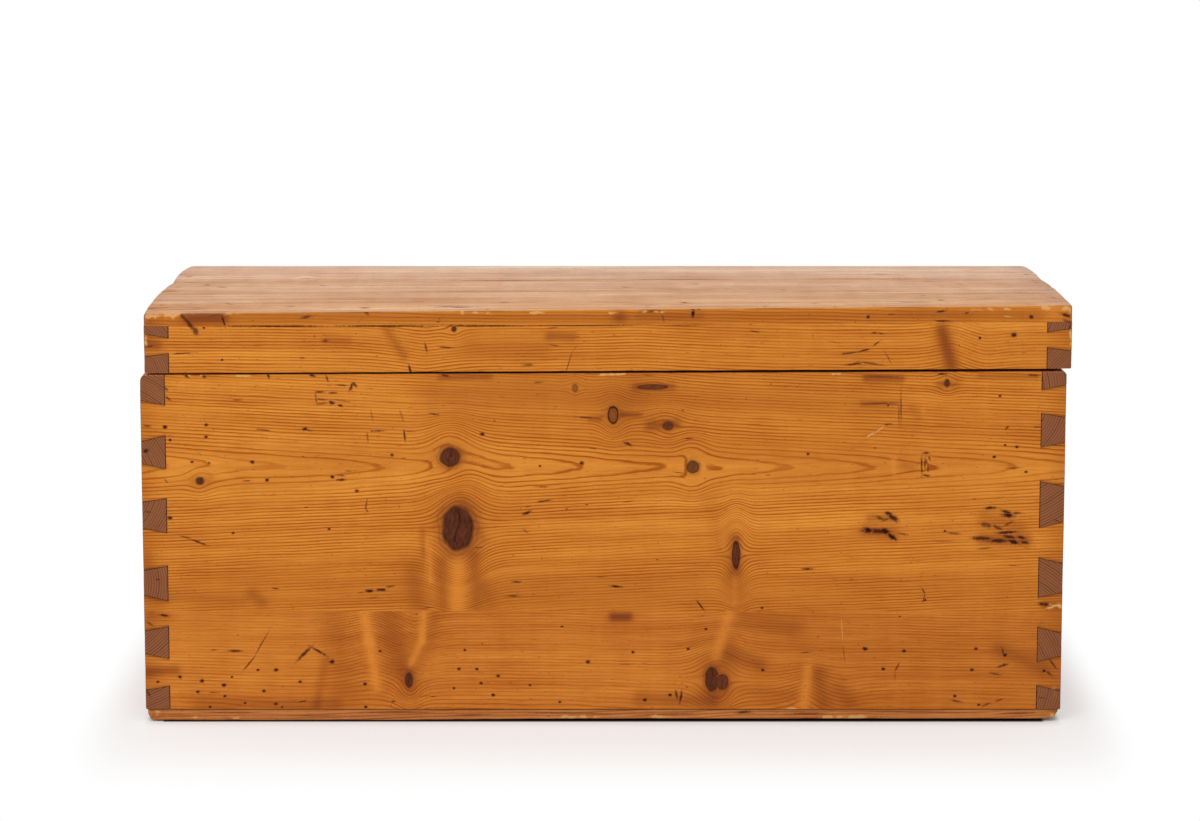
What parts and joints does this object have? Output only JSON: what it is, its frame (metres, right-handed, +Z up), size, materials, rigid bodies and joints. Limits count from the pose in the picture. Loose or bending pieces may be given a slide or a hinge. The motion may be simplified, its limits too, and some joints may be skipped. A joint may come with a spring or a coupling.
{
  "type": "blanket chest",
  "caption": "Long dovetailed pine blanket chest with a plank bottom and a shallow framed lid on two rear butt hinges.",
  "frame": {"origin": "on the floor, at the centre of the walls' footprint", "axes": "+X along the length to the right as seen from the front, +Y to the back, +Z up"},
  "size_m": [0.9648, 0.4583, 0.4414],
  "materials": {
    "front_pine": "old honey-orange varnish, satin",
    "end_pine": "old honey-orange varnish, satin, darker on end grain",
    "back_pine": "thin old varnish, dull",
    "lid_top_pine": "worn varnish, satin",
    "bottom_pine": "bare aged pine, worn edges",
    "hinge_iron": "dark oxidised iron",
    "screw_steel": "dull oxidised steel",
    "nail_iron": "rusted iron"
  },
  "bodies": {
    "chest": {"front_upper_board": "front_pine", "front_lower_board": "front_pine", "back_upper_board": "back_pine", "back_lower_board": "back_pine", "left_end_upper_board": "end_pine", "left_end_lower_board": "end_pine", "right_end_upper_board": "end_pine", "right_end_lower_board": "end_pine", "bottom_front_plank": "bottom_pine", "bottom_middle_plank": "bottom_pine", "bottom_back_plank": "bottom_pine", "bottom_nail_1": "nail_iron", "bottom_nail_2": "nail_iron", "bottom_nail_3": "nail_iron", "bottom_nail_4": "nail_iron", "bottom_nail_5": "nail_iron", "bottom_nail_6": "nail_iron", "bottom_nail_7": "nail_iron", "bottom_nail_8": "nail_iron", "bottom_nail_9": "nail_iron", "bottom_nail_10": "nail_iron", "bottom_nail_11": "nail_iron", "bottom_nail_12": "nail_iron", "hinge_left_fixed_leaf": "hinge_iron", "hinge_left_fixed_screw_1": "screw_steel", "hinge_left_fixed_screw_2": "screw_steel", "hinge_left_fixed_screw_3": "screw_steel", "hinge_left_pin": "hinge_iron", "hinge_right_fixed_leaf": "hinge_iron", "hinge_right_fixed_screw_1": "screw_steel", "hinge_right_fixed_screw_2": "screw_steel", "hinge_right_fixed_screw_3": "screw_steel", "hinge_right_pin": "hinge_iron"},
    "lid": {"lid_front_board": "front_pine", "lid_back_board": "back_pine", "lid_left_end": "end_pine", "lid_right_end": "end_pine", "lid_top_front_plank": "lid_top_pine", "lid_top_back_plank": "lid_top_pine", "lid_nail_1": "nail_iron", "lid_nail_2": "nail_iron", "lid_nail_3": "nail_iron", "lid_nail_4": "nail_iron", "lid_nail_5": "nail_iron", "lid_nail_6": "nail_iron", "lid_nail_7": "nail_iron", "lid_nail_8": "nail_iron", "lid_nail_9": "nail_iron", "lid_nail_10": "nail_iron", "lid_nail_11": "nail_iron", "lid_nail_12": "nail_iron", "hinge_left_moving_leaf": "hinge_iron", "hinge_left_moving_screw_1": "screw_steel", "hinge_left_moving_screw_2": "screw_steel", "hinge_left_moving_screw_3": "screw_steel", "hinge_right_moving_leaf": "hinge_iron", "hinge_right_moving_screw_1": "screw_steel", "hinge_right_moving_screw_2": "screw_steel", "hinge_right_moving_screw_3": "screw_steel"}
  },
  "joints": [
    {"name": "lid_hinge", "type": "hinge", "parent": "chest", "child": "lid", "pos_m": [0, 0.2293, 0.37045], "axis": [-1, 0, 0], "range_deg": [0, 105]}
  ]
}
